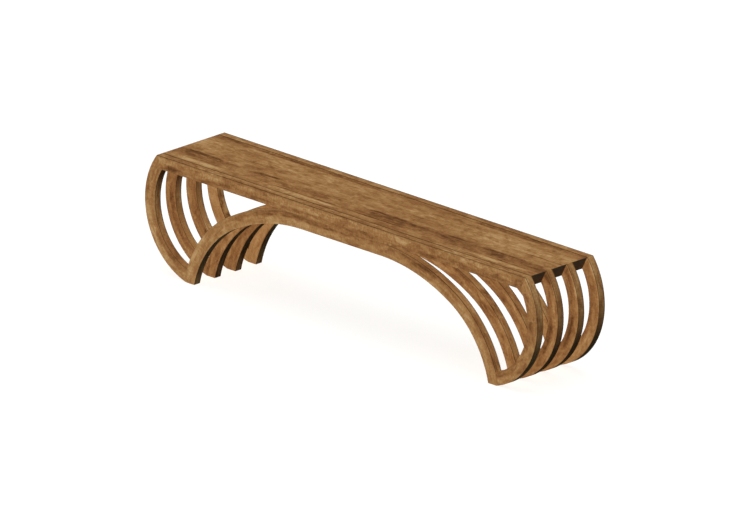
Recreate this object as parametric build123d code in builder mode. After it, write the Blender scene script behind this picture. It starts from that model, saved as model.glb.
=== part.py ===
from build123d import *
import math
import os

# A long wooden bench: a glued-up seat on four curved ribs.
# X runs along the seat, Y from front to back and Z up.
# The origin is on the floor, under the middle of the seat.

# Driving dimensions in millimetres, angles in degrees

# Overall
overall_length = 2000.0  # over the outermost points of the end bows
seat_height = 450.0  # floor to seat top
seat_thickness = 50.0  # seat boards and rails
end_overhang = 60.0  # how far a bow swells past the end of the seat top

# Ribs
rib_thickness = 30.0  # front to back
rib_gap = 75.0  # clear space between two ribs
strip_width = 50.0  # bows and arches, across the bend

# Arches
foot_inset = 210.0  # outermost point of a bow to the end of the foot's flat
toe_trim = 11.0  # what the bow's outer curve takes off the square end of an arch
shoulder_radius = 730.0  # upper bend, along the underside
shoulder_turn = 28.6  # angle that the upper bend takes up
leg_radius = 405.0  # lower bend, along the underside

# Loose tongues along the glue lines of the seat
tongue_width = 16.0
tongue_thickness = 8.0
tongue_setback = 80.0  # end of a tongue to the end of the seat underside

# Loose tenons at both ends of a bow
tenon_width = 30.0
tenon_thickness = 10.0
tenon_length = 40.0  # half of it in each piece
mitre_tenon_shift = 5.0  # from the middle of the mitre towards its inner corner

# Screws and plugs
screws_per_arch = 3
screw_diameter = 6.0
screw_bite = 30.0  # depth into the rail or seat
screw_tip_length = 8.0
screw_tip_diameter = 1.5
screw_head_diameter = 12.0
screw_head_height = 4.0
plug_diameter = 14.0
plug_length = 10.0

# Clearances
glue_gap = 0.1  # between a bow's coped end and the arch
fit_gap = 0.1  # round a tongue, tenon, screw or plug
end_relief = 1.0  # past the end of a tongue, tenon or screw

rib_names = ["front", "mid_front", "mid_rear", "rear"]
board_names = ["front", "mid_front", "mid_rear", "rear"]
tongue_names = ["front_rail", "front", "centre", "rear", "rear_rail"]
sides = {"left": -1, "right": 1}

# Places from front to back
rib_pitch = rib_thickness + rib_gap
rib_ys = [(index - (len(rib_names) - 1) / 2) * rib_pitch for index in range(len(rib_names))]
seat_width = rib_ys[-1] - rib_ys[0] - rib_thickness
board_width = seat_width / len(board_names)
board_ys = [(index + 0.5) * board_width - seat_width / 2 for index in range(len(board_names))]
seam_ys = [index * board_width - seat_width / 2 for index in range(len(tongue_names))]

# Heights
seat_underside = seat_height - seat_thickness
arch_underside = seat_underside - strip_width
tongue_height = seat_height - seat_thickness / 2

# Arch: a straight crown, then two bends that meet at the same slope, ending on the floor
turn = math.radians(shoulder_turn)
radius_step = shoulder_radius - leg_radius
leg_centre_z = arch_underside - shoulder_radius + radius_step * math.cos(turn)
leg_outer_radius = leg_radius + strip_width
foot_end = (overall_length / 2 - foot_inset, 0)
leg_centre_x = foot_end[0] + toe_trim - math.sqrt(leg_outer_radius**2 - leg_centre_z**2)
foot_start = (leg_centre_x + math.sqrt(leg_radius**2 - leg_centre_z**2), 0)
crown_half = leg_centre_x - radius_step * math.sin(turn)
shoulder_centre = (crown_half, arch_underside - shoulder_radius)
leg_centre = (leg_centre_x, leg_centre_z)
leg_start = 90 - shoulder_turn

# Bow: the circle through the seat's top corner and the foot's end that just reaches the overall length
top_corner = (overall_length / 2 - end_overhang, seat_height)


def bow_centre_height():
    """Height where the circle's reach past the top corner and past the foot's end both come out right."""
    a = foot_inset - end_overhang
    b = -2 * foot_inset * seat_height
    c = foot_inset * (end_overhang**2 + seat_height**2) - end_overhang * foot_inset**2
    return (-b - math.sqrt(b**2 - 4 * a * c)) / (2 * a)


bow_centre_z = bow_centre_height()
bow_radius = (end_overhang**2 + (seat_height - bow_centre_z) ** 2) / (2 * end_overhang)
bow_inner_radius = bow_radius - strip_width
bow_centre_x = overall_length / 2 - bow_radius
bow_centre = (bow_centre_x, bow_centre_z)
outer_swell = (bow_centre_x + bow_radius, bow_centre_z)
inner_swell = (bow_centre_x + bow_inner_radius, bow_centre_z)

# Mitre: from the top corner to where the bow's inner line meets the seat underside
mitre_inner_x = bow_centre_x + math.sqrt(bow_inner_radius**2 - (seat_underside - bow_centre_z) ** 2)
mitre_inner = (mitre_inner_x, seat_underside)


def lower_meeting(centre_a, radius_a, centre_b, radius_b):
    """The lower of the two points where two circles meet."""
    dx = centre_b[0] - centre_a[0]
    dz = centre_b[1] - centre_a[1]
    distance = math.hypot(dx, dz)
    along = (radius_a**2 - radius_b**2 + distance**2) / (2 * distance)
    across = math.copysign(math.sqrt(radius_a**2 - along**2), dx)
    x = centre_a[0] + (along * dx + across * dz) / distance
    z = centre_a[1] + (along * dz - across * dx) / distance
    return (x, z)


def angle_to(centre, point):
    """Angle at which a point lies round a centre, in degrees."""
    return math.degrees(math.atan2(point[1] - centre[1], point[0] - centre[0]))


# Cope: the bow's lower end, from its heel up to where its inner line meets the arch
cope_radius = leg_outer_radius + glue_gap
heel = lower_meeting(bow_centre, bow_radius, leg_centre, cope_radius)
cope_inner = lower_meeting(bow_centre, bow_inner_radius, leg_centre, cope_radius)
cope_angle = math.radians((angle_to(leg_centre, heel) + angle_to(leg_centre, cope_inner)) / 2)
cope_middle = (
    leg_centre_x + cope_radius * math.cos(cope_angle),
    leg_centre_z + cope_radius * math.sin(cope_angle),
)

# Toe: the arch's outer corner, trimmed flush with the bow's outer curve
toe = lower_meeting(bow_centre, bow_radius, leg_centre, leg_outer_radius)
toe_start = angle_to(bow_centre, foot_end)
toe_sweep = angle_to(bow_centre, toe) - toe_start


def leg_sweep(point):
    """Angle that a leg line turns through on its way down to this point."""
    return angle_to(leg_centre, point) - leg_start


def rib_plane(y):
    """Upright drawing plane at depth y, with length to the right and height up."""
    return Plane.XZ.offset(-y)


def on_side(side, point):
    """A point of the right-hand end, or its mirror image at the left."""
    return (side * point[0], point[1])


def bow_arc(side, start, middle, end):
    """One arc of a bow's outline, through three points."""
    return ThreePointArc(on_side(side, start), on_side(side, middle), on_side(side, end))


def mitre_plane(side, y):
    """Plane on a mitre face, with its x along the mitre and its normal into the bow."""
    length = math.dist(top_corner, mitre_inner)
    slope_x = (top_corner[0] - mitre_inner[0]) / length
    slope_z = (top_corner[1] - mitre_inner[1]) / length
    x = (top_corner[0] + mitre_inner[0]) / 2 - mitre_tenon_shift * slope_x
    z = (top_corner[1] + mitre_inner[1]) / 2 - mitre_tenon_shift * slope_z
    along_mitre = (side * slope_x, 0, slope_z)
    into_bow = (side * slope_z, 0, -slope_x)
    return Plane(origin=(side * x, y, z), x_dir=along_mitre, z_dir=into_bow)


def cope_plane(side, y):
    """Plane on the middle of a bow's coped end, with its x along the arch and its normal into the bow."""
    out_x = math.cos(cope_angle)
    out_z = math.sin(cope_angle)
    along_arch = (-side * out_z, 0, out_x)
    into_bow = (side * out_x, 0, out_z)
    return Plane(origin=(side * cope_middle[0], y, cope_middle[1]), x_dir=along_arch, z_dir=into_bow)


def tenon_section(plane, gap=0.0):
    """Round-edged section of a loose tenon, or of its mortise when there is a gap."""
    with BuildSketch(plane) as section:
        SlotOverall(tenon_width + 2 * gap, tenon_thickness + 2 * gap)
    return section.sketch


def underside_plane(height):
    """Plane that looks down from a level underside, for holes drilled up into it."""
    return Plane(origin=(0, 0, height), x_dir=(1, 0, 0), z_dir=(0, 0, -1))


def screw_xs():
    """Places of the screws, spread evenly over the straight crown of an arch."""
    pitch = 2 * crown_half / screws_per_arch
    return [(index + 0.5) * pitch - crown_half for index in range(screws_per_arch)]


def screw_places(ys):
    """Places of the screws on an underside plane, where depth counts the other way."""
    return [(x, -y) for y in ys for x in screw_xs()]


mortise_depth = tenon_length / 2 + end_relief
tongue_length = 2 * (mitre_inner_x - tongue_setback)
screw_hole_radius = screw_diameter / 2 + fit_gap
plug_hole_radius = plug_diameter / 2 + fit_gap
head_seat_depth = plug_length + screw_head_height

os.makedirs("parts", exist_ok=True)

# Rails and seat boards, from front to back: one slant-ended outline, with a seam between each two
member_names = ["front_rail", *[f"seat_board_{name}" for name in board_names], "rear_rail"]
member_ys = [rib_ys[0], *board_ys, rib_ys[-1]]
member_widths = [rib_thickness, *[board_width] * len(board_names), rib_thickness]

for index, member_name in enumerate(member_names):
    member_y = member_ys[index]
    member_width = member_widths[index]
    edge_ys = seam_ys[max(index - 1, 0) : index + 1]
    carried_ys = [y for y in rib_ys if abs(y - member_y) < member_width / 2]
    with BuildPart() as member:
        with BuildSketch(rib_plane(member_y)):
            with BuildLine():
                Polyline(
                    on_side(-1, top_corner),
                    on_side(1, top_corner),
                    on_side(1, mitre_inner),
                    on_side(-1, mitre_inner),
                    close=True,
                )
            make_face()
        extrude(amount=member_width / 2, both=True)
        # Stopped grooves for the tongues
        with Locations(*[(0, y, tongue_height) for y in edge_ys]):
            Box(
                tongue_length + 2 * end_relief,
                tongue_width + 2 * fit_gap,
                tongue_thickness + 2 * fit_gap,
                mode=Mode.SUBTRACT,
            )
        # Mortises and screw holes where a rib meets this piece
        for rib_y in carried_ys:
            for side in sides.values():
                mortise = tenon_section(mitre_plane(side, rib_y), fit_gap)
                extrude(mortise, amount=mortise_depth, both=True, mode=Mode.SUBTRACT)
        if carried_ys:
            with Locations(underside_plane(seat_underside)):
                with Locations(*screw_places(carried_ys)):
                    Hole(screw_hole_radius, depth=screw_bite + end_relief)
    member.part.label = member_name
    export_step(member.part, f"parts/{member_name}.step")

# End bows
for rib_name, rib_y in zip(rib_names, rib_ys):
    for side_name, side in sides.items():
        with BuildPart() as bow:
            with BuildSketch(rib_plane(rib_y)):
                with BuildLine():
                    bow_arc(side, top_corner, outer_swell, heel)
                    bow_arc(side, heel, cope_middle, cope_inner)
                    bow_arc(side, cope_inner, inner_swell, mitre_inner)
                    Line(on_side(side, mitre_inner), on_side(side, top_corner))
                make_face()
            extrude(amount=rib_thickness / 2, both=True)
            for end_plane in (mitre_plane(side, rib_y), cope_plane(side, rib_y)):
                mortise = tenon_section(end_plane, fit_gap)
                extrude(mortise, amount=mortise_depth, both=True, mode=Mode.SUBTRACT)
        bow.part.label = f"{rib_name}_{side_name}_bow"
        export_step(bow.part, f"parts/{rib_name}_{side_name}_bow.step")

# Arches
for rib_name, rib_y in zip(rib_names, rib_ys):
    with BuildPart() as arch:
        with BuildSketch(rib_plane(rib_y)):
            with BuildLine():
                Line((0, arch_underside), (crown_half, arch_underside))
                CenterArc(shoulder_centre, shoulder_radius, 90, -shoulder_turn)
                CenterArc(leg_centre, leg_radius, leg_start, leg_sweep(foot_start))
                Line(foot_start, foot_end)
                CenterArc(bow_centre, bow_radius, toe_start, toe_sweep)
                CenterArc(leg_centre, leg_outer_radius, leg_start, leg_sweep(toe))
                CenterArc(shoulder_centre, shoulder_radius + strip_width, 90, -shoulder_turn)
                Line((crown_half, seat_underside), (0, seat_underside))
                mirror(about=Plane.YZ)
            make_face()
        extrude(amount=rib_thickness / 2, both=True)
        for side in sides.values():
            mortise = tenon_section(cope_plane(side, rib_y), fit_gap)
            extrude(mortise, amount=mortise_depth, both=True, mode=Mode.SUBTRACT)
        with Locations(underside_plane(arch_underside)):
            with Locations(*screw_places([rib_y])):
                CounterBoreHole(screw_hole_radius, plug_hole_radius, head_seat_depth, depth=strip_width)
    arch.part.label = f"{rib_name}_arch"
    export_step(arch.part, f"parts/{rib_name}_arch.step")

# Loose tongues
for tongue_name, seam_y in zip(tongue_names, seam_ys):
    with BuildPart() as tongue:
        with Locations((0, seam_y, tongue_height)):
            Box(tongue_length, tongue_width, tongue_thickness)
    tongue.part.label = f"tongue_{tongue_name}"
    export_step(tongue.part, f"parts/tongue_{tongue_name}.step")

# Loose tenons
with BuildPart() as mitre_tenons:
    for rib_y in rib_ys:
        for side in sides.values():
            extrude(tenon_section(mitre_plane(side, rib_y)), amount=tenon_length / 2, both=True)
mitre_tenons.part.label = "mitre_tenons"
export_step(mitre_tenons.part, "parts/mitre_tenons.step")

with BuildPart() as foot_tenons:
    for rib_y in rib_ys:
        for side in sides.values():
            extrude(tenon_section(cope_plane(side, rib_y)), amount=tenon_length / 2, both=True)
foot_tenons.part.label = "foot_tenons"
export_step(foot_tenons.part, "parts/foot_tenons.step")

# Screws, heads down on the bottom of their bores, and the plugs that close the bores
head_base = arch_underside + plug_length
shank_base = head_base + screw_head_height
shank_length = seat_underside + screw_bite - screw_tip_length - shank_base
upright = (Align.CENTER, Align.CENTER, Align.MIN)
screw_points = [(x, y) for y in rib_ys for x in screw_xs()]

with BuildPart() as seat_screws:
    with Locations(*[(x, y, head_base) for x, y in screw_points]):
        Cylinder(screw_head_diameter / 2, screw_head_height, align=upright)
    with Locations(*[(x, y, shank_base) for x, y in screw_points]):
        Cylinder(screw_diameter / 2, shank_length, align=upright)
    with Locations(*[(x, y, shank_base + shank_length) for x, y in screw_points]):
        Cone(screw_diameter / 2, screw_tip_diameter / 2, screw_tip_length, align=upright)
seat_screws.part.label = "seat_screws"
export_step(seat_screws.part, "parts/seat_screws.step")

with BuildPart() as screw_plugs:
    with Locations(*[(x, y, arch_underside) for x, y in screw_points]):
        Cylinder(plug_diameter / 2, plug_length, align=upright)
screw_plugs.part.label = "screw_plugs"
export_step(screw_plugs.part, "parts/screw_plugs.step")
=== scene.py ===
"""The wood finish and the photo stage of a long bench on four curved ribs, laid out as a Blender add-on."""

import math
from typing import Callable, NamedTuple

import bpy
from bpy.props import FloatProperty, FloatVectorProperty, IntVectorProperty, PointerProperty
from mathutils import Color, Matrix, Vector


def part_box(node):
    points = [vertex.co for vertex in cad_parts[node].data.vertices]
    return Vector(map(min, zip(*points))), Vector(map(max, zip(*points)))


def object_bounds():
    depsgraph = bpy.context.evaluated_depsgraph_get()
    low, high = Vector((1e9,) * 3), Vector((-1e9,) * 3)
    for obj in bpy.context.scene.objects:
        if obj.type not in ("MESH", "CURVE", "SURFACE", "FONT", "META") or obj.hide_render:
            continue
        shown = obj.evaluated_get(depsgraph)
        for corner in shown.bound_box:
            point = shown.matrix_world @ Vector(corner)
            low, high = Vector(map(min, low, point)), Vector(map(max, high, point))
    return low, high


bl_info = {
    "name": "Wooden bench",
    "version": (1, 0, 0),
    "blender": (4, 5, 0),
    "location": "3D View > Sidebar > Bench",
    "description": "Finishes the pieces of a long wooden bench on curved ribs and sets its photo stage",
    "category": "Object",
}

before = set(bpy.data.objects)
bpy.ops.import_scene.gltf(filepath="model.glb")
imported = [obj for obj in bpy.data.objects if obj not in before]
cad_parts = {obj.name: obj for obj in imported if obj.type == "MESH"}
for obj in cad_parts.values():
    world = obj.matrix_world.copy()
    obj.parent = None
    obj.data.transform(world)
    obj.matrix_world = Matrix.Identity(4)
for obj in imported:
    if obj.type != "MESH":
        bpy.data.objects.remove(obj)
cad_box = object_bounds()

# Pieces of the bench
RIBS = ("front", "mid_front", "mid_rear", "rear")
INNER_RIBS = ("mid_front", "mid_rear")
ENDS = ("left", "right")
SEAT_BOARDS = tuple(f"seat_board_{rib}" for rib in RIBS)
RAILS = ("front_rail", "rear_rail")
TONGUES = tuple(f"tongue_{seam}" for seam in ("front_rail", "front", "centre", "rear", "rear_rail"))
TENONS = ("mitre_tenons", "foot_tenons")


def bow_names(ribs):
    """The nodes of the end bows on these ribs."""
    return [f"{rib}_{end}_bow" for rib in ribs for end in ENDS]


# Fields of the settings

SCREEN_WHITE = 255
SMALLEST_BEND = 0.1


def linear(red, green, blue):
    """A screen colour, 0 to 255 each, as the linear light that a shader takes."""
    shares = Color((red / SCREEN_WHITE, green / SCREEN_WHITE, blue / SCREEN_WHITE))
    return tuple(shares.from_srgb_to_scene_linear())


def length_field(name, description, default, smallest=0.001):
    """A length in metres."""
    return FloatProperty(
        name=name,
        description=description,
        default=default,
        min=smallest,
        unit="LENGTH",
        precision=4,
    )


def angle_field(name, description, degrees):
    """An angle, which is given in degrees."""
    return FloatProperty(name=name, description=description, default=math.radians(degrees), unit="ROTATION")


def colour_field(name, description, default):
    """A colour in linear light."""
    return FloatVectorProperty(
        name=name,
        description=description,
        default=default,
        subtype="COLOR",
        min=0,
        max=1,
    )


def direction_field(name, description, default):
    """A direction from the bench."""
    return FloatVectorProperty(name=name, description=description, default=default, subtype="DIRECTION")


def level_field(name, description, default):
    """The brightness that a lamp gives a white face turned to it."""
    return FloatProperty(name=name, description=description, default=default, min=0)


# Sizes and colours that a user may change


class BenchCurves(bpy.types.PropertyGroup):
    """The bends of the bows and arches, which the grain follows."""

    bow_radius: length_field("Bow radius", "Radius of an end bow, along its outside", 0.2851, SMALLEST_BEND)
    shoulder_radius: length_field(
        "Shoulder radius", "Radius of an arch's upper bend, along its underside", 0.73, SMALLEST_BEND)
    shoulder_turn: angle_field("Shoulder turn", "Angle that an arch's upper bend takes up", 28.6)
    leg_radius: length_field(
        "Leg radius", "Radius of an arch's lower bend, along its underside", 0.405, SMALLEST_BEND)


class BenchTones(bpy.types.PropertyGroup):
    """The colours of the wood and of the metal."""

    umber: colour_field("Umber", "Darkest marks of the figure", linear(86, 56, 31))
    russet: colour_field("Russet", "Reddish heartwood and dark patches", linear(112, 75, 43))
    honey: colour_field("Honey", "Deeper ground colour", linear(132, 92, 55))
    golden: colour_field("Golden", "Middle ground colour", linear(147, 108, 66))
    wheat: colour_field("Wheat", "Lighter ground colour", linear(158, 120, 77))
    sapwood: colour_field("Sapwood", "Palest streaks of the figure", linear(176, 143, 99))
    arris: colour_field("Arris line", "Thin dark line along sharp edges and glue lines", linear(52, 34, 19))
    end_grain: colour_field("End grain", "Early wood on the ends of the seat boards", linear(135, 117, 88))
    joint: colour_field("Joint wood", "Plain hardwood of the tongues, tenons and plugs", linear(172, 134, 88))
    steel: colour_field("Screw steel", "Zinc plated steel of the screws", linear(176, 176, 172))


class BenchGrain(bpy.types.PropertyGroup):
    """The scale of the wood's figure."""

    cloud_length: length_field("Cloud length", "Length along the grain of broad light and dark areas", 0.28)
    cloud_width: length_field("Cloud width", "Width across the grain of broad light and dark areas", 0.07)
    streak_length: length_field("Streak length", "Length of the growth streaks", 0.3)
    streak_width: length_field("Streak width", "Width of the growth streaks", 0.016)
    mottle_length: length_field("Mottle length", "Length of the soft marks that cover the wood", 0.05)
    mottle_width: length_field("Mottle width", "Width of the soft marks that cover the wood", 0.02)
    smudge_length: length_field("Smudge length", "Length of the dark smudges in the bands", 0.1)
    smudge_width: length_field("Smudge width", "Width of the dark smudges in the bands", 0.012)
    blotch_length: length_field("Blotch length", "Length of the small dark spots in the bands", 0.024)
    blotch_width: length_field("Blotch width", "Width of the small dark spots in the bands", 0.014)
    ripple_length: length_field(
        "Ripple length", "Step along the grain of the fine marks that cross it", 0.006)
    ripple_width: length_field(
        "Ripple width", "Reach across the grain of the fine marks that cross it", 0.013)
    fibre_length: length_field("Fibre length", "Length of the fine fibres and pores", 0.036)
    fibre_width: length_field("Fibre width", "Width of the fine fibres and pores", 0.0012)
    ring_width: length_field("Ring width", "Width of a growth ring on the ends of the seat boards", 0.0035)
    arris_width: length_field("Arris line width", "Width of the dark line along sharp edges", 0.0035)


class BenchStudio(bpy.types.PropertyGroup):
    """The camera, the lamps and the floor."""

    azimuth: angle_field("Camera azimuth", "Angle of the view round the bench, from straight in front", 45)
    elevation: angle_field("Camera elevation", "Angle of the view above the floor", 19.471)
    picture: IntVectorProperty(
        name="Picture size",
        description="Width and height of the picture in pixels",
        default=(750, 527),
        size=2,
    )
    bench_pixel: FloatVectorProperty(
        name="Bench pixel",
        description="Pixel where the middle of the bench shows",
        default=(374.95, 263.96),
        size=2,
    )
    pixels_per_metre: FloatProperty(
        name="Pixels per metre",
        description="Scale of the parallel view",
        default=277.4,
        min=1,
    )
    key_direction: direction_field(
        "Key direction", "Towards the key lamp, which stands high in front", (0.29, -0.72, 0.62))
    key_level: level_field("Key level", "Brightness that the key lamp gives a white face turned to it", 1.41)
    key_colour: colour_field("Key colour", "Warm white of the key lamp", (1.0, 0.96, 0.92))
    back_direction: direction_field(
        "Back direction", "Towards the lamp behind the bench", (-0.45, 0.89, 0.05))
    back_level: level_field(
        "Back level", "Brightness that the lamp behind gives a white face turned to it", 0.95)
    back_colour: colour_field("Back colour", "Warm white of the lamp behind", (1.0, 0.96, 0.92))
    top_level: level_field(
        "Top level", "Brightness that the wide lamp overhead gives the seat, and the floor its shadow", 0.13)
    ambient: colour_field(
        "Ambient light", "Light of the room on faces that no lamp reaches", (0.02, 0.06, 0.1))
    floor: colour_field("Floor", "Colour of the plain pale floor", (0.99, 1.0, 1.0))
    floor_bounce: colour_field(
        "Floor bounce",
        "Colour of the floor in the light that it throws back onto the bench",
        (0.078, 0.108, 0.142),
    )


# Shader graphs


class Wire:
    """An output socket that takes part in Python sums: each operator adds a Math node."""

    def __init__(self, graph, socket):
        self.graph = graph
        self.socket = socket

    def math(self, operation, *values):
        """A Math node on these values, each a wire or a number."""
        return self.graph.node("ShaderNodeMath", {"operation": operation}, values)

    def __add__(self, other):
        return self.math("ADD", self, other)

    def __radd__(self, other):
        return self.math("ADD", other, self)

    def __sub__(self, other):
        return self.math("SUBTRACT", self, other)

    def __rsub__(self, other):
        return self.math("SUBTRACT", other, self)

    def __mul__(self, other):
        return self.math("MULTIPLY", self, other)

    def __rmul__(self, other):
        return self.math("MULTIPLY", other, self)

    def __truediv__(self, other):
        return self.math("DIVIDE", self, other)

    def __rtruediv__(self, other):
        return self.math("DIVIDE", other, self)

    def __lt__(self, other):
        return self.math("LESS_THAN", self, other)

    def __gt__(self, other):
        return self.math("GREATER_THAN", self, other)

    def __abs__(self):
        return self.math("ABSOLUTE", self)

    def sign(self):
        """Minus one, nought or one."""
        return self.math("SIGN", self)

    def root(self):
        """Square root."""
        return self.math("SQRT", self)

    def angle_from(self, other):
        """The angle whose tangent is this wire over the other."""
        return self.math("ARCTAN2", self, other)

    def at_most(self, other):
        """The smaller of the two."""
        return self.math("MINIMUM", self, other)

    def at_least(self, other):
        """The larger of the two."""
        return self.math("MAXIMUM", self, other)

    def wrapped(self, length):
        """This wire, starting again from nought after each length."""
        return self.math("WRAP", self, length, 0)


class Graph:
    """A node tree under construction."""

    def __init__(self, tree):
        self.tree = tree
        tree.nodes.clear()

    def node(self, kind, settings=None, sockets=(), output=0):
        """Adds a node of this kind, sets it, fills its sockets by name or in order, and gives one output."""
        made = self.tree.nodes.new(kind)
        for name, value in (settings or {}).items():
            if name == "stops":
                self.set_stops(made.color_ramp, value)
            else:
                setattr(made, name, value)
        inputs = [socket for socket in made.inputs if socket.enabled]
        by_name = {socket.name: socket for socket in reversed(inputs)}
        named = sockets.items() if isinstance(sockets, dict) else enumerate(sockets)
        for key, value in named:
            socket = by_name[key] if isinstance(key, str) else inputs[key]
            if isinstance(value, Wire):
                self.tree.links.new(value.socket, socket)
            else:
                socket.default_value = value
        outputs = [socket for socket in made.outputs if socket.enabled]
        if not outputs:
            return None
        found = made.outputs[output] if isinstance(output, str) else outputs[output]
        return Wire(self, found)

    @staticmethod
    def set_stops(ramp, stops):
        """Gives a ramp these stops, each a position and a colour."""
        while len(ramp.elements) < len(stops):
            ramp.elements.new(1.0)
        for element, (position, colour) in zip(ramp.elements, stops):
            element.position = position
            element.color = shader_colour(colour)

    def vector(self, x, y, z):
        """Three wires or numbers as one vector."""
        return self.node("ShaderNodeCombineXYZ", sockets=(x, y, z))

    def parts(self, vector):
        """The three wires of a vector."""
        made = self.node("ShaderNodeSeparateXYZ", sockets=(vector,)).socket.node
        return [Wire(self, socket) for socket in made.outputs]

    def noise(self, place, detail, roughness, distortion=0.0):
        """Soft noise from 0 to 1 at this place, one step of it a unit long."""
        sockets = {
            "Vector": place,
            "Scale": 1.0,
            "Detail": detail,
            "Roughness": roughness,
            "Distortion": distortion,
        }
        return self.node("ShaderNodeTexNoise", {"noise_dimensions": "3D"}, sockets)

    def rise(self, value, low, high):
        """Nought below low, one above high, and a smooth step between them."""
        settings = {"interpolation_type": "SMOOTHSTEP"}
        sockets = {"Value": value, "From Min": low, "From Max": high}
        return self.node("ShaderNodeMapRange", settings, sockets)

    def profile(self, value, stops):
        """A level that follows stops, each a distance and a level, and keeps the outer levels beyond them."""
        start = stops[0][0]
        length = stops[-1][0] - start
        shares = [((distance - start) / length, (level,) * 3) for distance, level in stops]
        ramp = self.node("ShaderNodeValToRGB", {"stops": shares}, ((value - start) / length,))
        return self.node("ShaderNodeRGBToBW", sockets=(ramp,))

    def mix(self, share, first, second):
        """A colour between two colours."""
        sockets = {"Factor": share, "A": shader_colour(first), "B": shader_colour(second)}
        return self.node("ShaderNodeMix", {"data_type": "RGBA"}, sockets)

    def blend(self, share, first, second):
        """A shader between two shaders."""
        return self.node("ShaderNodeMixShader", sockets=(share, first, second))

    def bump(self, height, distance):
        """A normal that follows this height, where 1 is a distance in metres."""
        return self.node("ShaderNodeBump", sockets={"Strength": 1.0, "Distance": distance, "Height": height})

    def close(self, shader, kind="ShaderNodeOutputMaterial"):
        """Ends the tree with this shader as its surface."""
        self.node(kind, sockets={"Surface": shader})


def shader_colour(colour):
    """A colour with its alpha, unless it is a wire."""
    return colour if isinstance(colour, Wire) else (*colour[:3], 1.0)


def new_material(name):
    """A material and its empty graph."""
    material = bpy.data.materials.new(name)
    material.use_nodes = True
    return material, Graph(material.node_tree)


def radius_at(run, climb):
    """Distance of a place from the centre of a bend, from how far along and above it the place lies."""
    return (run * run + climb * climb).root()


# How the grain runs

# How fast an arch's edge line fades where the arch lies flat, and how far outside its edge the line starts
FLAT_FADE = 0.1
LINE_SETBACK = 0.001


class Grain(NamedTuple):
    """Places in a piece of wood, in metres: along its grain, through its depth and across its width."""

    along: Wire
    depth: Wire
    across: Wire


class Sizes(NamedTuple):
    """The bench's main sizes in metres. A centre is an X and a Z, on the right half of the bench."""

    strip: float  # Width of a rail, a bow or an arch, seen from its side
    board: float  # Width of a seat board
    rib_half: float  # Half the thickness of a rib
    rib_place: float  # Distance of the outer ribs from the middle of the bench
    rail_low: float  # Height of a rail's lower edge
    arch_low: float  # Height of an arch's underside in the middle
    crown_half: float  # Half the length of an arch's straight crown
    heel_along: float  # Length along an arch from its middle to where a bow meets it
    bow_radius: float
    bow_centre: tuple
    shoulder_radius: float
    shoulder_turn: float  # Angle that the shoulder takes up
    shoulder_z: float  # Height of the shoulder's centre
    leg_radius: float
    leg_centre: tuple


def bench_sizes(curves):
    """The bench's main sizes from the frame and the bends."""
    rail_low, rail_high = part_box("front_rail")
    board_low, board_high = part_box("seat_board_front")
    arch_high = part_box("front_arch")[1]
    bow_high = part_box("front_right_bow")[1]
    strip = rail_high.z - rail_low.z
    underside = arch_high.z - strip
    turn = curves.shoulder_turn
    bow_x = bow_high.x - curves.bow_radius
    bow_z = rail_high.z - math.sqrt(curves.bow_radius**2 - (rail_high.x - bow_x) ** 2)
    toe_z = bow_z - math.sqrt(curves.bow_radius**2 - (arch_high.x - bow_x) ** 2)
    step = curves.shoulder_radius - curves.leg_radius
    leg_z = underside - curves.shoulder_radius + step * math.cos(turn)
    leg_outer = curves.leg_radius + strip
    leg_x = arch_high.x - math.sqrt(leg_outer**2 - (toe_z - leg_z) ** 2)
    crown_half = leg_x - step * math.sin(turn)
    span = math.dist((bow_x, bow_z), (leg_x, leg_z))
    bow_inner = curves.bow_radius - strip
    heel_turn = math.acos((span**2 + leg_outer**2 - bow_inner**2) / (2 * span * leg_outer))
    heel_turn += math.atan2(bow_x - leg_x, bow_z - leg_z)
    return Sizes(
        strip=strip,
        board=board_high.y - board_low.y,
        rib_half=(rail_high.y - rail_low.y) / 2,
        rib_place=-(rail_high.y + rail_low.y) / 2,
        rail_low=rail_low.z,
        arch_low=underside,
        crown_half=crown_half,
        heel_along=crown_half + turn * curves.shoulder_radius + (heel_turn - turn) * curves.leg_radius,
        bow_radius=curves.bow_radius,
        bow_centre=(bow_x, bow_z),
        shoulder_radius=curves.shoulder_radius,
        shoulder_turn=turn,
        shoulder_z=underside - curves.shoulder_radius,
        leg_radius=curves.leg_radius,
        leg_centre=(leg_x, leg_z),
    )


def straight_grain(x, y, z, sizes):
    """Grain along a rail, across from its lower edge."""
    return Grain(x, y, z - sizes.rail_low)


def seat_grain(x, y, z, sizes):
    """Grain along the seat, across from front to back with nought in the middle."""
    return Grain(x, z, y)


def bow_grain(x, y, z, sizes):
    """Grain round a bow, across from its inner line, a metre up for right bows and a metre down for left."""
    centre_x, centre_z = sizes.bow_centre
    run = abs(x) - centre_x
    climb = z - centre_z
    along = climb.angle_from(run) * sizes.bow_radius + x.sign()
    return Grain(along, y, radius_at(run, climb) - (sizes.bow_radius - sizes.strip))


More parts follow.
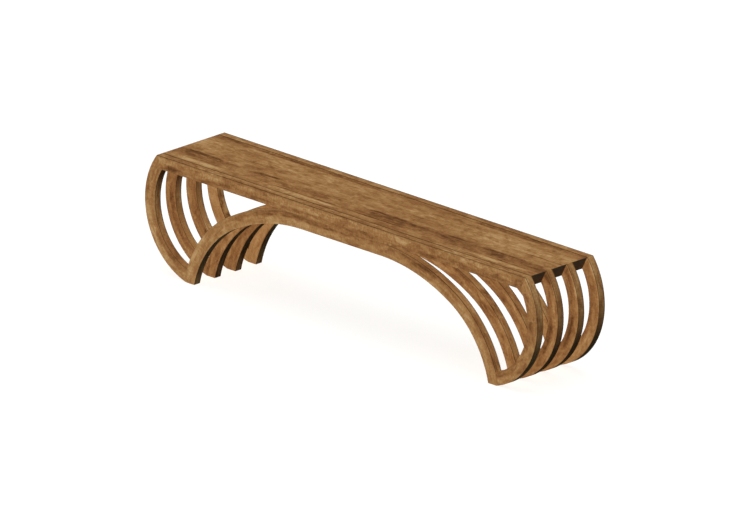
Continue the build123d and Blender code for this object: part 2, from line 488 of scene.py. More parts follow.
def arch_grain(x, y, z, sizes):
    """Grain along an arch's crown, shoulder and leg, across from its upper line."""
    half = abs(x)
    crown = sizes.crown_half
    turn = sizes.shoulder_turn
    run = half - crown
    climb = z - sizes.shoulder_z
    shoulder_angle = run.angle_from(climb)
    leg_x, leg_z = sizes.leg_centre
    leg_run = half - leg_x
    leg_climb = z - leg_z
    leg_angle = leg_run.angle_from(leg_climb)
    on_crown = half < crown
    on_leg = shoulder_angle > turn
    on_shoulder = 1 - on_crown - on_leg
    shoulder_along = shoulder_angle * sizes.shoulder_radius + crown
    leg_along = (leg_angle - turn) * sizes.leg_radius + (crown + turn * sizes.shoulder_radius)
    along = half * on_crown + shoulder_along * on_shoulder + leg_along * on_leg
    height = (
        (z - sizes.arch_low) * on_crown
        + (radius_at(run, climb) - sizes.shoulder_radius) * on_shoulder
        + (radius_at(leg_run, leg_climb) - sizes.leg_radius) * on_leg
    )
    return Grain(along * x.sign(), y, sizes.strip - height)


def rib_edge(y, sizes):
    """Distance from the nearer side of a rib. The inner ribs stand at a third of the outer ribs' place."""
    third = sizes.rib_place / 3
    from_rib = abs(abs(abs(y) - 2 * third) - third)
    return abs(sizes.rib_half - from_rib)


def seat_edge(y, sizes):
    """Distance from the glue line between the seat and the nearer rail."""
    return abs(abs(y) - (sizes.rib_place - sizes.rib_half))


def rail_border(grain, sizes):
    """Distance from the upper edge of a rail's side."""
    return sizes.strip - grain.across


def arch_border(grain, sizes):
    """Distance from an arch's upper edge, fading out where the arch lies flat and where a bow meets it."""
    from_middle = abs(grain.along)
    flat_part = (sizes.crown_half - from_middle) * FLAT_FADE
    return (grain.across + LINE_SETBACK).at_least(flat_part).at_least(from_middle - sizes.heel_along)


# Bands of light and dark wood, some of them painted light and shade on single faces


class Band(NamedTuple):
    """A lengthwise band that lightens or darkens the wood."""

    middle: float  # Place across the grain
    half_width: float
    shift: float  # How far it moves the tone towards light, or towards dark below nought
    along: tuple  # Places along the grain, each with the band's level there


# Middle and half width of a band on all of a rib's width, on its inner or upper face, and at its outer face
WHOLE_STRIP = (0.025, 0.030)
NEAR_FACE = (-0.006, 0.008)
FAR_FACE = (0.050, 0.010)

# Seat: a dark heart in its front half, pale sapwood before it, and the shading of its rear half
HEART_ZONE = Band(-0.068, 0.036, -0.50, (
    (-0.94, 0.6), (-0.84, 1.0), (-0.70, 0.9), (-0.62, 0.2), (-0.56, 0.7), (-0.38, 0.6), (-0.18, 0.6),
    (-0.04, 0.1), (0.06, 0.9), (0.28, 0.7), (0.36, 0.4), (0.48, 0.8), (0.58, 0.4), (0.68, 0.9),
    (0.86, 0.7), (0.94, 0.4)))
HEART_STREAKS = Band(-0.045, 0.009, -0.70, (
    (-0.90, 0.0), (-0.86, 1.0), (-0.76, 0.8), (-0.72, 0.0), (-0.56, 0.0), (-0.50, 0.8), (-0.40, 0.0),
    (0.02, 0.0), (0.06, 1.0), (0.18, 0.6), (0.22, 0.0), (0.38, 0.0), (0.45, 0.8), (0.54, 0.0),
    (0.62, 0.0), (0.66, 1.0), (0.80, 0.7), (0.85, 0.0)))
SAPWOOD_STREAKS = Band(-0.119, 0.010, 0.32, (
    (-0.93, 0.0), (-0.87, 0.8), (-0.72, 1.0), (-0.63, 0.0), (-0.48, 0.0), (-0.38, 0.6), (-0.26, 1.0),
    (-0.14, 1.0), (-0.05, 0.0), (0.48, 0.0), (0.58, 0.7), (0.70, 1.0), (0.82, 1.0), (0.90, 0.0)))
SAPWOOD_BORDER = Band(-0.103, 0.004, -0.75, (
    (-0.90, 0.0), (-0.80, 0.5), (-0.60, 0.0), (-0.47, 0.2), (-0.35, 0.8), (-0.16, 1.0), (-0.08, 0.4),
    (0.02, 0.8), (0.16, 0.8), (0.30, 0.2), (0.60, 0.2), (0.76, 0.9), (0.90, 0.4)))
REAR_SHADE = Band(0.131, 0.014, -0.58, (
    (-0.94, 0.6), (-0.80, 0.5), (-0.56, 1.0), (-0.40, 0.8), (-0.22, 1.0), (0.0, 0.5), (0.20, 0.1),
    (0.30, 0.2), (0.36, 0.6), (0.44, 1.0), (0.56, 0.9), (0.68, 0.8), (0.90, 0.5)))
MIDDLE_LINE = Band(0.016, 0.004, -0.45, (
    (-0.82, 0.0), (-0.74, 0.8), (-0.52, 0.6), (-0.46, 0.0), (0.10, 0.0), (0.20, 0.7), (0.28, 0.0),
    (0.66, 0.0), (0.74, 0.8), (0.94, 0.8)))
MIDDLE_LIGHT = Band(0.045, 0.048, 0.15, (
    (-0.94, 0.3), (-0.72, 0.3), (-0.60, 1.0), (-0.45, 0.6), (-0.25, 0.0), (0.0, 0.1), (0.15, 0.8),
    (0.50, 1.0), (0.62, 0.0), (0.75, 0.3), (0.94, 0.4)))

# Rails: shade along the lower edge, a lighter stretch above it, and a darker top
RAIL_SHADE = Band(0.006, 0.020, -0.38, (
    (-0.96, 0.9), (-0.86, 0.9), (-0.78, 0.4), (-0.66, 1.0), (-0.56, 0.4), (-0.44, 1.0), (-0.34, 0.5),
    (-0.22, 0.7), (-0.12, 1.0), (0.0, 0.4), (0.12, 0.4), (0.26, 0.1), (0.42, 0.7), (0.50, 1.0),
    (0.62, 0.6), (0.72, 0.7), (0.82, 1.0), (0.96, 0.6)))
RAIL_LIGHT = Band(0.032, 0.020, 0.13, ((-0.10, 0.0), (0.0, 0.7), (0.10, 1.0), (0.34, 1.0), (0.42, 0.0)))
RAIL_TOP = Band(0.050, 0.008, -0.10, ((-0.96, 1.0), (0.96, 1.0)))

# Bows: along the grain, left bows lie below nought and right bows above it, from foot to top
BOW_SHADE = Band(0.004, 0.018, -0.36, (
    (-1.7, 0.9), (-1.5, 0.4), (-1.2, 0.9), (-1.0, 0.3), (-0.8, 0.8), (0.4, 0.8), (0.6, 0.9), (0.8, 0.4),
    (1.0, 0.8), (1.15, 0.3), (1.4, 0.9)))
BOW_FEET = Band(*WHOLE_STRIP, 0.10, (
    (-1.40, 1.0), (-1.25, 0.8), (-1.12, 0.0), (0.40, 0.0), (0.55, 1.0), (0.75, 0.8), (0.88, 0.0)))
# Outside face high on the right bows made lighter: partly the wood's tone, partly painted light
BOW_OUTSIDE_HIGH_TONE_AND_PAINTED_LIGHT = Band(*FAR_FACE, 0.21, ((0.94, 0.0), (1.08, 1.0), (1.3, 1.0)))
# Outside face low on the right bows, where it turns down, made darker: partly the wood's tone, partly painted
# shade
BOW_OUTSIDE_LOW_TONE_AND_PAINTED_SHADE = Band(0.056, 0.008, -0.18, ((0.6, 1.0), (0.95, 1.0), (1.02, 0.0)))
# Inside face of the left bows made lighter: partly the wood's tone, partly painted light
BOW_INSIDE_TONE_AND_PAINTED_LIGHT = Band(*NEAR_FACE, 0.58, ((-1.5, 1.0), (-1.1, 1.0), (-1.0, 0.8), (-0.92, 0.3), (-0.6, 0.0)))
INNER_BOW_SHADE = Band(0.014, 0.016, -0.45, (
    (-1.5, 0.2), (-1.25, 0.2), (-1.2, 0.4), (-1.13, 0.5), (-1.07, 0.7), (-1.0, 0.4), (-0.93, 0.0),
    (0.6, 0.0), (0.72, 0.0), (0.82, 0.7), (0.89, 1.0), (0.94, 0.8), (1.0, 0.2), (1.06, 0.0), (1.3, 0.0)))
# Outside face high on the inner right bows made lighter: partly the wood's tone, partly painted light
INNER_BOW_OUTSIDE_TONE_AND_PAINTED_LIGHT = Band(*FAR_FACE, 0.18, ((1.02, 0.0), (1.13, 1.0), (1.3, 1.0)))
# The same lighter outside face, weaker, on the front bows: partly the wood's tone, partly painted light
FRONT_BOW_OUTSIDE_TONE_AND_PAINTED_LIGHT = BOW_OUTSIDE_HIGH_TONE_AND_PAINTED_LIGHT._replace(shift=0.12)
# Inside face low on the front left bow made lighter: partly the wood's tone, partly painted light
FRONT_BOW_INSIDE_TONE_AND_PAINTED_LIGHT = Band(*NEAR_FACE, 0.14, ((-1.5, 1.0), (-1.15, 1.0), (-1.05, 0.0)))
FRONT_BOW_LIGHT = Band(*WHOLE_STRIP, 0.34, (
    (-1.4, 0.25), (-1.25, 0.3), (-1.19, 0.45), (-1.155, 1.0), (-1.12, 1.0), (-1.08, 0.45), (-1.03, 0.2),
    (-1.0, 0.0)))
FRONT_BOW_DARK = Band(*WHOLE_STRIP, -0.24, (
    (-1.06, 0.0), (-1.0, 0.35), (-0.95, 1.0), (-0.88, 0.9), (-0.7, 0.8), (0.0, 0.0)))
# Inside face of the pale rear left bow made darker: partly the wood's tone, partly painted shade
PALE_BOW_INSIDE_TONE_AND_PAINTED_SHADE = Band(*NEAR_FACE, -1.0, ((-1.5, 1.0), (-1.13, 1.0), (-1.04, 0.2), (-0.6, 0.2)))

# Arches: along the grain from the left foot to the right one, with nought in the middle
ARCH_SHADE = Band(0.005, 0.018, -0.46, (
    (-1.0, 0.0), (-0.66, 0.0), (-0.56, 0.2), (-0.46, 0.4), (-0.38, 0.8), (-0.30, 0.9), (-0.22, 0.9),
    (-0.15, 0.9), (-0.08, 1.0), (0.0, 0.7), (0.07, 1.0), (0.13, 0.5), (0.20, 0.9), (0.28, 0.6),
    (0.36, 0.8), (0.44, 0.9), (0.51, 0.7), (0.57, 0.1), (0.62, 0.0), (1.0, 0.0)))
ARCH_FEET = Band(*WHOLE_STRIP, 0.05, ((-1.0, 1.0), (-0.64, 1.0), (-0.50, 0.0)))
# Upper face of the outer arches' right shoulder made lighter: partly the wood's tone, partly painted light
ARCH_TOP_TONE_AND_PAINTED_LIGHT = Band(*NEAR_FACE, 0.40, ((0.30, 1.0), (0.41, 1.0), (0.46, 0.2), (0.50, 0.2), (0.54, 0.0)))
# Underside of the rear and inner arches made darker: partly the wood's tone, partly painted shade
ARCH_UNDERSIDE_TONE_AND_PAINTED_SHADE = Band(0.050, 0.004, -0.22, ((-1.0, 1.0), (1.0, 1.0)))
SHOULDER_SHADE = Band(*WHOLE_STRIP, -0.16, ((0.26, 0.0), (0.40, 1.0), (0.52, 1.0), (0.66, 0.0)))
# Upper face of the outer arches' right leg made darker: partly the wood's tone, partly painted shade
LEG_TOP_TONE_AND_PAINTED_SHADE = Band(*NEAR_FACE, -0.22, ((0.56, 0.0), (0.66, 1.0), (1.0, 1.0)))
# Left leg of the rear arch made darker: painted shade against the light that the ribs beside it throw onto it
REAR_LEG_PAINTED_SHADE = Band(*WHOLE_STRIP, -0.19, ((-1.0, 1.0), (-0.70, 1.0), (-0.50, 0.0)))
# Upper face of the inner arches' right shoulder made lighter: partly the wood's tone, partly painted light
INNER_ARCH_TOP_TONE_AND_PAINTED_LIGHT = Band(*NEAR_FACE, 0.60, ((0.30, 1.0), (0.50, 1.0), (0.56, 0.2), (0.60, 0.0)))
# Upper face of the red inner arch's right leg made darker: partly the wood's tone, partly painted shade
INNER_LEG_TOP_TONE_AND_PAINTED_SHADE = Band(*NEAR_FACE, -0.36, ((0.56, 0.0), (0.60, 1.0), (0.68, 0.8), (0.76, 0.0)))
INNER_LEGS = Band(*WHOLE_STRIP, -0.30, (
    (-1.0, 1.0), (-0.85, 0.8), (-0.75, 0.6), (-0.55, 0.2), (-0.40, 0.0), (0.46, 0.0), (0.56, 0.7),
    (0.63, 0.7), (0.70, 0.0), (1.0, 0.0)))

# Finishes of the wood


class Wood(NamedTuple):
    """A finish of the wood."""

    name: str
    grain: Callable  # How its grain runs
    edge: Callable  # Where dark lines follow its edges on top
    bands: tuple
    tone: float  # Its middle tone, from dark to light
    figure: float  # How strong its figure is
    hatch: float  # How strong the fine marks across the grain are
    cut: float  # Where along the noise it was cut
    border: Callable | None = None  # Where a dark line follows the edge of its sides, if any does
    end_grain: bool = False  # Whether its ends show growth rings


SEAT_WOOD = Wood(
    name="seat_figured_wood",
    grain=seat_grain,
    edge=seat_edge,
    bands=(
        HEART_ZONE, HEART_STREAKS, SAPWOOD_STREAKS, SAPWOOD_BORDER, REAR_SHADE, MIDDLE_LINE, MIDDLE_LIGHT),
    tone=0.705,
    figure=0.9,
    hatch=0.35,
    cut=3.3,
    end_grain=True,
)
RAIL_WOOD = Wood(
    name="rail_golden_wood",
    grain=straight_grain,
    edge=rib_edge,
    bands=(RAIL_SHADE, RAIL_LIGHT, RAIL_TOP),
    tone=0.74,
    figure=0.95,
    hatch=0.55,
    cut=11.7,
    border=rail_border,
)
FRONT_BOW_WOOD = Wood(
    name="bow_golden_wood",
    grain=bow_grain,
    edge=rib_edge,
    bands=(BOW_SHADE, BOW_FEET, FRONT_BOW_OUTSIDE_TONE_AND_PAINTED_LIGHT, FRONT_BOW_INSIDE_TONE_AND_PAINTED_LIGHT, FRONT_BOW_LIGHT, FRONT_BOW_DARK),
    tone=0.75,
    figure=0.9,
    hatch=0.45,
    cut=23.1,
)
INNER_BOW_WOOD = FRONT_BOW_WOOD._replace(
    name="bow_red_wood",
    bands=(INNER_BOW_SHADE, BOW_FEET, INNER_BOW_OUTSIDE_TONE_AND_PAINTED_LIGHT, BOW_OUTSIDE_LOW_TONE_AND_PAINTED_SHADE, BOW_INSIDE_TONE_AND_PAINTED_LIGHT),
    tone=0.56,
    figure=1.0,
    cut=29.5,
)
REAR_BOW_WOOD = FRONT_BOW_WOOD._replace(
    name="bow_honey_wood",
    bands=(BOW_SHADE, BOW_FEET, BOW_OUTSIDE_HIGH_TONE_AND_PAINTED_LIGHT, BOW_OUTSIDE_LOW_TONE_AND_PAINTED_SHADE),
    tone=0.66,
)
PALE_BOW_WOOD = FRONT_BOW_WOOD._replace(
    name="bow_pale_wood",
    bands=(PALE_BOW_INSIDE_TONE_AND_PAINTED_SHADE,),
    tone=0.77,
    figure=0.5,
)
FRONT_ARCH_WOOD = Wood(
    name="arch_golden_wood",
    grain=arch_grain,
    edge=rib_edge,
    bands=(ARCH_SHADE, ARCH_FEET, SHOULDER_SHADE, ARCH_TOP_TONE_AND_PAINTED_LIGHT, LEG_TOP_TONE_AND_PAINTED_SHADE),
    tone=0.78,
    figure=0.7,
    hatch=0.45,
    cut=37.9,
    border=arch_border,
)
REAR_ARCH_WOOD = FRONT_ARCH_WOOD._replace(
    name="arch_honey_wood",
    bands=FRONT_ARCH_WOOD.bands + (REAR_LEG_PAINTED_SHADE, ARCH_UNDERSIDE_TONE_AND_PAINTED_SHADE),
)
DEEP_ARCH_WOOD = FRONT_ARCH_WOOD._replace(
    name="arch_deep_red_wood",
    bands=(ARCH_SHADE, INNER_ARCH_TOP_TONE_AND_PAINTED_LIGHT, INNER_LEGS, ARCH_UNDERSIDE_TONE_AND_PAINTED_SHADE),
    tone=0.65,
    figure=1.0,
    cut=43.3,
)
RED_ARCH_WOOD = DEEP_ARCH_WOOD._replace(
    name="arch_red_wood",
    bands=DEEP_ARCH_WOOD.bands + (INNER_LEG_TOP_TONE_AND_PAINTED_SHADE,),
    tone=0.73,
)

# Materials

# Detail, roughness and distortion of the noise in each layer of the wood's figure, and the noise's middle
NOISE = {
    "cloud": (2, 0.5, 0.0),
    "streak": (3, 0.55, 0.0),
    "mottle": (5, 0.7, 0.6),
    "smudge": (4, 0.6, 0.5),
    "blotch": (4, 0.65, 0.8),
    "ripple": (2, 0.6, 0.0),
    "fibre": (2, 0.6, 0.0),
}
NOISE_MIDDLE = 0.5

# Weights of the layers in the tone, the roughness and the relief
FIGURE_WEIGHTS = {"mottle": 1.1, "dark_mottle": 0.9, "streak": 0.35, "cloud": 0.8}
FIBRE_WEIGHT = 0.4
ROUGHNESS_WEIGHTS = {"streak": -0.3, "fibre": 0.2}
RELIEF_WEIGHTS = {"fibre": 0.6, "ripple": 0.3, "streak": 0.4}
WOOD_ROUGHNESS = 0.72
WOOD_SPECULAR = 0.002
WOOD_RELIEF = 0.0006

# Where the wood's colours lie between its darkest and its lightest tone
TONE_STOPS = {"umber": 0.0, "russet": 0.28, "honey": 0.52, "golden": 0.70, "wheat": 0.83, "sapwood": 1.0}

# A band's solid core and its reach in half widths, how far it wavers in streak widths, and what breaks it up
BAND_CORE = 0.4
BAND_REACH = 1.1
BAND_WAVER = 0.8
BAND_GROUND = 0.6
SMUDGE_FADE = (-0.04, 0.14)
SMUDGE_WEIGHT = 0.6
BLOTCH_WEIGHT = 2.0

# Edge lines: shares of the line's width where they start to fade and are gone, and how dark they are
TOP_LINE = (0.4, 1.0)
SIDE_LINE = (0.3, 0.8)
SIDE_LINE_LEVEL = 0.8
LINE_LEVEL = 0.8

# How squarely a face turns to the front or the ends before it counts as a side or as end grain
SIDE_FADE = (0.3, 0.7)
END_FADE = (0.4, 0.6)

# Growth rings on the ends of the seat boards
RING_NOISE = (2, 0.6)
RING_FADE = (0.35, 0.65)
RING_LEVEL = 0.45

# Plain wood of the joints: length, width and cut of its streaks and flecks, then their noise and strength
JOINT_STREAK = (0.08, 0.002, 2.3)
JOINT_STREAK_NOISE = (3, 0.6)
JOINT_STREAK_FADE = (0.3, 0.7)
JOINT_STREAK_LEVEL = 0.6
JOINT_FLECK = (0.004, 0.0012, 8.9)
JOINT_FLECK_NOISE = (2, 0.5)
JOINT_FLECK_FADE = (0.55, 0.75)
JOINT_FLECK_LEVEL = 0.4
JOINT_FLECK_RELIEF = 0.5
JOINT_ROUGHNESS = 0.62
JOINT_ROUGHNESS_SPREAD = 0.2
JOINT_SPECULAR = 0.25
JOINT_RELIEF = 0.0003

# Zinc plated steel: its spangles and how dull they are, then its roughness and relief
SPANGLES_PER_METRE = 700.0
SPANGLE_NOISE = (3, 0.6)
SPANGLE_FADE = (0.35, 0.7)
SPANGLE_LEVEL = 0.4
DULL_SHADE = 0.6
STEEL_ROUGHNESS = 0.32
STEEL_ROUGHNESS_SPREAD = 0.2
STEEL_RELIEF = 0.00005


def stretched(graph, grain, length, width, cut):
    """A place for noise that is a unit long over this length of grain and width of wood."""
    return graph.vector(grain.along / length + cut, grain.depth / width, grain.across / width)


def weighted(layers, weights):
    """The sum of the layers of noise that have a weight, each times its weight."""
    first, *others = (layers[name] * weight for name, weight in weights.items())
    return sum(others, first)


def wood_layers(graph, grain, scale, cut):
    """The layers of noise in the wood by name, each about nought."""
    layers = {}
    for name, noise_settings in NOISE.items():
        length = getattr(scale, f"{name}_length")
        width = getattr(scale, f"{name}_width")
        place = stretched(graph, grain, length, width, cut)
        layers[name] = graph.noise(place, *noise_settings) - NOISE_MIDDLE
    layers["dark_mottle"] = layers["mottle"].at_most(0)
    return layers


def wood_tone(graph, wood, grain, layers, scale):
    """The wood's tone from dark to light, with its bands, some of them painted light and shade on single
    faces.
    """
    tone = wood.tone + weighted(layers, FIGURE_WEIGHTS) * wood.figure
    tone = tone + layers["ripple"] * wood.hatch + layers["fibre"] * FIBRE_WEIGHT
    waver = (layers["cloud"] + layers["mottle"]) * (BAND_WAVER * scale.streak_width)
    across = grain.across + waver
    smudge = graph.rise(layers["smudge"], *SMUDGE_FADE)
    strength = BAND_GROUND + smudge * SMUDGE_WEIGHT - layers["blotch"] * BLOTCH_WEIGHT
    for band in wood.bands:
        gap = abs(across - band.middle)
        inside = 1 - graph.rise(gap, BAND_CORE * band.half_width, BAND_REACH * band.half_width)
        level = graph.profile(grain.along, band.along)
        tone = tone + inside * level * strength * band.shift
    return tone


def edge_line(graph, gap, width, shares):
    """One on an edge and nought away from it, fading between these shares of the line's width."""
    fade_start, fade_end = shares
    return 1 - graph.rise(gap, fade_start * width, fade_end * width)


def board_rings(graph, y, z, sizes, width):
    """Growth rings on the end of each seat board, round a heart that lies below it."""
    board = sizes.board
    from_middle = y.wrapped(board) - board / 2
    climb = z - sizes.rail_low + board / 2
    reach = radius_at(from_middle, climb)
    rings = graph.noise(graph.vector(reach / width, y / board, climb / board), *RING_NOISE)
    return graph.rise(rings, *RING_FADE)


def wood_material(wood, scene):
    """A wood finish as a material."""
    tones = scene.bench_tones
    scale = scene.bench_grain
    sizes = bench_sizes(scene.bench_curves)
    material, graph = new_material(wood.name)
    x, y, z = graph.parts(graph.node("ShaderNodeTexCoord", output="Object"))
    normal_x, normal_y, _ = graph.parts(graph.node("ShaderNodeTexCoord", output="Normal"))
    grain = wood.grain(x, y, z, sizes)
    layers = wood_layers(graph, grain, scale, wood.cut)

    # Figure
    stops = [(position, getattr(tones, name)) for name, position in TONE_STOPS.items()]
    tone = wood_tone(graph, wood, grain, layers, scale)
    colour = graph.node("ShaderNodeValToRGB", {"stops": stops}, (tone,))

    # Edge lines
    side = graph.rise(abs(normal_y), *SIDE_FADE)
    line = edge_line(graph, wood.edge(y, sizes), scale.arris_width, TOP_LINE) * (1 - side)
    if wood.border:
        side_line = edge_line(graph, wood.border(grain, sizes), scale.arris_width, SIDE_LINE)
        line = line + side_line * side * SIDE_LINE_LEVEL
    colour = graph.mix(line * (LINE_LEVEL + layers["streak"]), colour, tones.arris)

    # End grain
    if wood.end_grain:
        rings = board_rings(graph, y, z, sizes, scale.ring_width)
        end_colour = graph.mix(rings * RING_LEVEL, tones.end_grain, tones.russet)
        colour = graph.mix(graph.rise(abs(normal_x), *END_FADE), colour, end_colour)

    shader = graph.node(
        "ShaderNodeBsdfPrincipled",
        sockets={
            "Base Color": colour,
            "Roughness": WOOD_ROUGHNESS + weighted(layers, ROUGHNESS_WEIGHTS),
            "Specular IOR Level": WOOD_SPECULAR,
            "Normal": graph.bump(weighted(layers, RELIEF_WEIGHTS), WOOD_RELIEF),
        },
    )
    graph.close(shader)
    return material


def joint_material(scene, name):
    """Plain hardwood with fine straight grain along X."""
    tones = scene.bench_tones
    material, graph = new_material(name)
    grain = Grain(*graph.parts(graph.node("ShaderNodeTexCoord", output="Object")))
    streak = graph.noise(stretched(graph, grain, *JOINT_STREAK), *JOINT_STREAK_NOISE)
    fleck = graph.noise(stretched(graph, grain, *JOINT_FLECK), *JOINT_FLECK_NOISE)
    streaked = graph.rise(streak, *JOINT_STREAK_FADE) * JOINT_STREAK_LEVEL
    flecked = graph.rise(fleck, *JOINT_FLECK_FADE) * JOINT_FLECK_LEVEL
    colour = graph.mix(streaked, tones.joint, tones.honey)
    colour = graph.mix(flecked, colour, tones.russet)
    shader = graph.node(
        "ShaderNodeBsdfPrincipled",
        sockets={
            "Base Color": colour,
            "Roughness": JOINT_ROUGHNESS + streak * JOINT_ROUGHNESS_SPREAD,
            "Specular IOR Level": JOINT_SPECULAR,
            "Normal": graph.bump(streak + fleck * JOINT_FLECK_RELIEF, JOINT_RELIEF),
        },
    )
    graph.close(shader)
    return material


def steel_material(scene):
    """Zinc plated steel, a little dulled."""
    material, graph = new_material("zinc_plated_steel")
    place = graph.node("ShaderNodeTexCoord", output="Object")
    sockets = {"Vector": place, "Scale": SPANGLES_PER_METRE}
    scaled = graph.node("ShaderNodeVectorMath", {"operation": "SCALE"}, sockets)
    spangle = graph.noise(scaled, *SPANGLE_NOISE)
    dull = graph.rise(spangle, *SPANGLE_FADE)
    steel = scene.bench_tones.steel
    colour = graph.mix(dull * SPANGLE_LEVEL, steel, tuple(DULL_SHADE * channel for channel in steel))
    shader = graph.node(
        "ShaderNodeBsdfPrincipled",
        sockets={
            "Base Color": colour,
            "Metallic": 1.0,
            "Roughness": STEEL_ROUGHNESS + dull * STEEL_ROUGHNESS_SPREAD,
            "Normal": graph.bump(spangle, STEEL_RELIEF),
        },
    )
    graph.close(shader)
    return material


def dress(names, material):
    """Gives these nodes a material, in place of the ones they had."""
    for name in names:
        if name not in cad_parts:
            raise RuntimeError(f"the frame has no node named {name}")
        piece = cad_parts[name]
        piece.data.materials.clear()
        piece.data.materials.append(material)


# Operators of the pieces


class BENCH_OT_finish_seat(bpy.types.Operator):
    """Finishes the four seat boards"""

    bl_idname = "bench.finish_seat"
    bl_label = "Finish seat boards"

    def execute(self, context):
        dress(SEAT_BOARDS, wood_material(SEAT_WOOD, context.scene))
        return {"FINISHED"}


class BENCH_OT_finish_rails(bpy.types.Operator):
    """Finishes the front and rear rails"""

    bl_idname = "bench.finish_rails"
    bl_label = "Finish rails"

    def execute(self, context):
        dress(RAILS, wood_material(RAIL_WOOD, context.scene))
        return {"FINISHED"}


class BENCH_OT_finish_bows(bpy.types.Operator):
    """Finishes the eight end bows: golden in front, redder inside, honey and pale at the rear"""

    bl_idname = "bench.finish_bows"
    bl_label = "Finish end bows"

    def execute(self, context):
        finishes = (
            (bow_names(["front"]), FRONT_BOW_WOOD, "outer_rib_wood"),
            (bow_names(INNER_RIBS), INNER_BOW_WOOD, "inner_rib_wood"),
            (["rear_right_bow"], REAR_BOW_WOOD, "outer_rib_wood"),
            (["rear_left_bow"], PALE_BOW_WOOD, "outer_rib_wood"),
        )
        for names, wood, slot in finishes:
            dress(names, wood_material(wood, context.scene))
        return {"FINISHED"}


class BENCH_OT_finish_arches(bpy.types.Operator):
    """Finishes the four arches: golden in front, honey at the rear, redder inside"""

    bl_idname = "bench.finish_arches"
    bl_label = "Finish arches"

    def execute(self, context):
        finishes = (
            ("front_arch", FRONT_ARCH_WOOD, "outer_rib_wood"),
            ("rear_arch", REAR_ARCH_WOOD, "outer_rib_wood"),
            ("mid_front_arch", RED_ARCH_WOOD, "inner_rib_wood"),
            ("mid_rear_arch", DEEP_ARCH_WOOD, "inner_rib_wood"),
        )
        for name, wood, slot in finishes:
            dress([name], wood_material(wood, context.scene))
        return {"FINISHED"}


class BENCH_OT_finish_joints(bpy.types.Operator):
    """Finishes the loose tongues and tenons inside the bench"""

    bl_idname = "bench.finish_joints"
    bl_label = "Finish tongues and tenons"

    def execute(self, context):
        dress(TONGUES + TENONS, joint_material(context.scene, "joint_plain_wood"))
        return {"FINISHED"}


class BENCH_OT_finish_fixings(bpy.types.Operator):
    """Finishes the seat screws and the plugs under them"""

    bl_idname = "bench.finish_fixings"
    bl_label = "Finish screws and plugs"

    def execute(self, context):
        dress(["seat_screws"], steel_material(context.scene))
        dress(["screw_plugs"], joint_material(context.scene, "plug_plain_wood"))
        return {"FINISHED"}


# Photo stage

FLOOR_HALF = 20.0
CAMERA_DISTANCE = 6.0
CAMERA_REACH = 60.0
LAMP_SOFTNESS = math.radians(10)
TOP_SOFTNESS = math.radians(60)
STRAIGHT_UP = (0, 0, 1)
WHITE = (1, 1, 1)


def add_camera(studio):
    """A parallel view of the bench from the photo's angle."""
    low, high = cad_box
    azimuth, elevation = studio.azimuth, studio.elevation
    flat = math.cos(elevation)
    back = Vector((math.sin(azimuth) * flat, -math.cos(azimuth) * flat, math.sin(elevation)))
    right = Vector((math.cos(azimuth), math.sin(azimuth), 0))
    up = back.cross(right)
    width, height = studio.picture
    pixel_x, pixel_y = studio.bench_pixel
    aim = (low + high) / 2
    aim += right * ((width / 2 - pixel_x) / studio.pixels_per_metre)
    aim += up * ((pixel_y - height / 2) / studio.pixels_per_metre)
    data = bpy.data.cameras.new("photo_camera")
    data.type = "ORTHO"
    data.ortho_scale = width / studio.pixels_per_metre
    data.clip_end = CAMERA_REACH
    camera = bpy.data.objects.new("photo_camera", data)
    camera.location = aim + back * CAMERA_DISTANCE
    camera.rotation_euler = back.to_track_quat("Z", "Y").to_euler()
    bpy.context.scene.collection.objects.link(camera)
    bpy.context.scene.camera = camera


def add_sun(name, direction, level, softness, shadow, colour):
    """A far lamp that gives a white face turned to it this brightness."""
    data = bpy.data.lights.new(name, "SUN")
    data.energy = level * math.pi
    data.angle = softness
    data.use_shadow = shadow
    data.color = colour
    lamp = bpy.data.objects.new(name, data)
    lamp.rotation_euler = Vector(direction).to_track_quat("Z", "Y").to_euler()
    bpy.context.scene.collection.objects.link(lamp)


def add_lamps(studio):
    """Lamps in front and behind without shadows, and a wide weak one overhead with a soft shadow."""
    add_sun("key_lamp", studio.key_direction, studio.key_level, LAMP_SOFTNESS, False, studio.key_colour)
    add_sun("back_lamp", studio.back_direction, studio.back_level, LAMP_SOFTNESS, False, studio.back_colour)
    add_sun("top_lamp", STRAIGHT_UP, studio.top_level, TOP_SOFTNESS, True, WHITE)


def seen_directly(graph):
    """One for the camera, and for reflections and glass that look past the bench."""
    rays = graph.node("ShaderNodeLightPath", output="Is Camera Ray").socket.node.outputs
    camera = Wire(graph, rays["Is Camera Ray"])
    glossy = Wire(graph, rays["Is Glossy Ray"])
    through = Wire(graph, rays["Is Transmission Ray"])
    return camera.at_least(glossy).at_least(through)


def add_room(studio):
    """A white room that gives the bench only a little light."""
    world = bpy.data.worlds.new("white_room")
    world.use_nodes = True
    graph = Graph(world.node_tree)
    glow = graph.node("ShaderNodeBackground", sockets={"Color": shader_colour(studio.ambient)})
    white = graph.node("ShaderNodeBackground", sockets={"Color": shader_colour(WHITE)})
    graph.close(graph.blend(seen_directly(graph), glow, white), "ShaderNodeOutputWorld")
    bpy.context.scene.world = world


def add_floor(studio):
    """A wide pale floor that keeps the bench's shadow and throws little light back up."""
    mesh = bpy.data.meshes.new("floor")
    corners = [(-1, -1), (1, -1), (1, 1), (-1, 1)]
    mesh.from_pydata([(x * FLOOR_HALF, y * FLOOR_HALF, 0) for x, y in corners], [], [(0, 1, 2, 3)])
    floor = bpy.data.objects.new("floor", mesh)
    bpy.context.scene.collection.objects.link(floor)
    material, graph = new_material("pale_floor")
    bounce = graph.node("ShaderNodeBsdfDiffuse", sockets={"Color": shader_colour(studio.floor_bounce)})
    pale = graph.node("ShaderNodeBsdfDiffuse", sockets={"Color": shader_colour(studio.floor)})
    graph.close(graph.blend(seen_directly(graph), bounce, pale))
    mesh.materials.append(material)


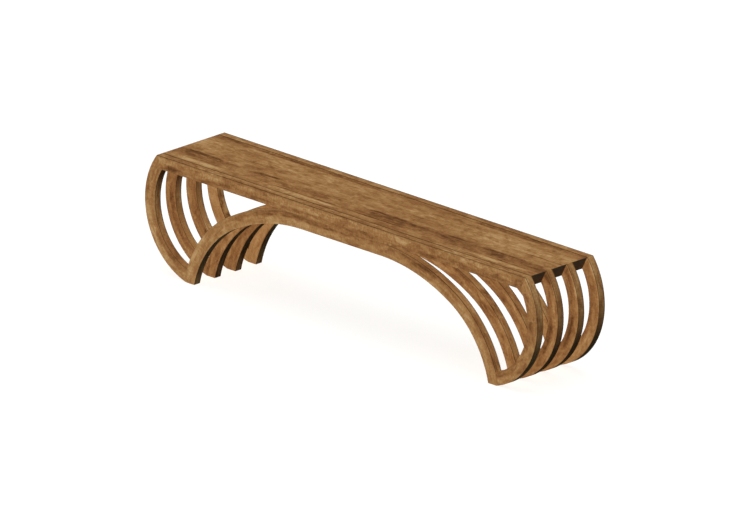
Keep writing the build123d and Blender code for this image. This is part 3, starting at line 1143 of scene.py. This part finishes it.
class BENCH_OT_build_stage(bpy.types.Operator):
    """Sets the camera, the lamps, the room and the floor"""

    bl_idname = "bench.build_stage"
    bl_label = "Build stage"

    def execute(self, context):
        studio = context.scene.bench_studio
        add_camera(studio)
        add_lamps(studio)
        add_room(studio)
        add_floor(studio)
        context.scene.view_settings.view_transform = "Standard"
        return {"FINISHED"}


# Sidebar and registration


class VIEW3D_PT_bench(bpy.types.Panel):
    """The bench's operators, sizes and colours"""

    bl_label = "Wooden bench"
    bl_space_type = "VIEW_3D"
    bl_region_type = "UI"
    bl_category = "Bench"

    def draw(self, context):
        for operator in OPERATORS:
            self.layout.operator(operator.bl_idname)
        for name in GROUPS:
            group = getattr(context.scene, name)
            box = self.layout.box()
            for field in group.bl_rna.properties:
                if not field.is_readonly and field.identifier != "name":
                    box.prop(group, field.identifier)


OPERATORS = (
    BENCH_OT_finish_seat,
    BENCH_OT_finish_rails,
    BENCH_OT_finish_bows,
    BENCH_OT_finish_arches,
    BENCH_OT_finish_joints,
    BENCH_OT_finish_fixings,
    BENCH_OT_build_stage,
)
GROUPS = {
    "bench_curves": BenchCurves,
    "bench_tones": BenchTones,
    "bench_grain": BenchGrain,
    "bench_studio": BenchStudio,
}


def register():
    """Adds the bench's classes and its settings to Blender."""
    for group in GROUPS.values():
        bpy.utils.register_class(group)
    for name, group in GROUPS.items():
        setattr(bpy.types.Scene, name, PointerProperty(type=group))
    for operator in OPERATORS:
        bpy.utils.register_class(operator)
    bpy.utils.register_class(VIEW3D_PT_bench)


def unregister():
    """Takes them out again."""
    bpy.utils.unregister_class(VIEW3D_PT_bench)
    for operator in reversed(OPERATORS):
        bpy.utils.unregister_class(operator)
    for name, group in GROUPS.items():
        delattr(bpy.types.Scene, name)
        bpy.utils.unregister_class(group)


def main():
    """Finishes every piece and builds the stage."""
    register()
    bpy.ops.bench.finish_seat()
    bpy.ops.bench.finish_rails()
    bpy.ops.bench.finish_bows()
    bpy.ops.bench.finish_arches()
    bpy.ops.bench.finish_joints()
    bpy.ops.bench.finish_fixings()
    bpy.ops.bench.build_stage()


if __name__ == "__main__":
    main()
